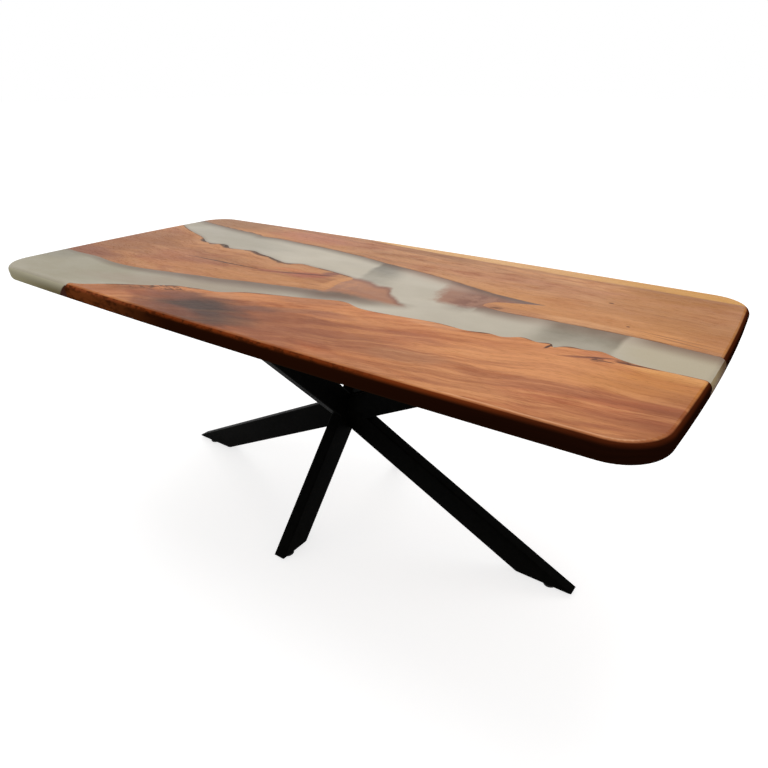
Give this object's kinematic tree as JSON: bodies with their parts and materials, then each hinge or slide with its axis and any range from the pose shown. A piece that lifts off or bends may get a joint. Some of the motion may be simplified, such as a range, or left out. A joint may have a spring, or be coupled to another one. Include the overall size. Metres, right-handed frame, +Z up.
{
  "type": "epoxy resin dining table",
  "caption": "Long dining table with a river top of live-edge wood slabs cast in milky resin, on a black base of crossed rectangular steel tubes with levelling feet.",
  "frame": {"origin": "on the floor under the middle of the top", "axes": "+X along the length of the top, +Y across it from the front slab to the rear slab, +Z up"},
  "size_m": [2, 0.8998, 0.76],
  "materials": {
    "front_wood": "satin",
    "middle_wood": "satin",
    "rear_wood": "satin",
    "resin": "satin",
    "black_steel": "satin",
    "zinc_steel": "satin",
    "insert_brass": "satin",
    "pad_plastic": "matte"
  },
  "bodies": {
    "table": {"front_slab": "front_wood", "middle_slab": "middle_wood", "rear_slab": "rear_wood", "resin_casting": "resin", "long_bar": "black_steel", "right_lower_leg": "black_steel", "left_upper_arm": "black_steel", "front_lower_leg": "black_steel", "rear_upper_arm": "black_steel", "rear_lower_leg": "black_steel", "front_upper_arm": "black_steel", "left_mount_plate": "black_steel", "right_mount_plate": "black_steel", "front_mount_plate": "black_steel", "rear_mount_plate": "black_steel", "left_foot_plate": "black_steel", "right_foot_plate": "black_steel", "front_foot_plate": "black_steel", "rear_foot_plate": "black_steel", "mount_bolts": "zinc_steel", "mount_washers": "zinc_steel", "threaded_inserts": "insert_brass", "foot_weld_nuts": "zinc_steel"},
    "left_pad": {"left_glide_pad": "pad_plastic"},
    "left_stud": {"left_glide_stud": "zinc_steel"},
    "right_pad": {"right_glide_pad": "pad_plastic"},
    "right_stud": {"right_glide_stud": "zinc_steel"},
    "front_pad": {"front_glide_pad": "pad_plastic"},
    "front_stud": {"front_glide_stud": "zinc_steel"},
    "rear_pad": {"rear_glide_pad": "pad_plastic"},
    "rear_stud": {"rear_glide_stud": "zinc_steel"}
  },
  "joints": [
    {"name": "left_pad_slide", "type": "slide", "parent": "table", "child": "left_pad", "axis": [0, 0, -1], "range_m": [0, 0.01]},
    {"name": "left_stud_turn", "type": "hinge", "parent": "left_pad", "child": "left_stud", "pos_m": [-0.74, 0, 0], "axis": [0, 0, -1], "range_deg": [0, 2880]},
    {"name": "right_pad_slide", "type": "slide", "parent": "table", "child": "right_pad", "axis": [0, 0, -1], "range_m": [0, 0.01]},
    {"name": "right_stud_turn", "type": "hinge", "parent": "right_pad", "child": "right_stud", "pos_m": [0.74, 0, 0], "axis": [0, 0, -1], "range_deg": [0, 2880]},
    {"name": "front_pad_slide", "type": "slide", "parent": "table", "child": "front_pad", "axis": [0, 0, -1], "range_m": [0, 0.01]},
    {"name": "front_stud_turn", "type": "hinge", "parent": "front_pad", "child": "front_stud", "pos_m": [0, -0.335, 0], "axis": [0, 0, -1], "range_deg": [0, 2880]},
    {"name": "rear_pad_slide", "type": "slide", "parent": "table", "child": "rear_pad", "axis": [0, 0, -1], "range_m": [0, 0.01]},
    {"name": "rear_stud_turn", "type": "hinge", "parent": "rear_pad", "child": "rear_stud", "pos_m": [0, 0.335, 0], "axis": [0, 0, -1], "range_deg": [0, 2880]}
  ],
  "couplings": [
    {"joint": "left_pad_slide", "follows": "left_stud_turn", "m_per_rad": 0.00019894},
    {"joint": "right_pad_slide", "follows": "right_stud_turn", "m_per_rad": 0.00019894},
    {"joint": "front_pad_slide", "follows": "front_stud_turn", "m_per_rad": 0.00019894},
    {"joint": "rear_pad_slide", "follows": "rear_stud_turn", "m_per_rad": 0.00019894}
  ]
}
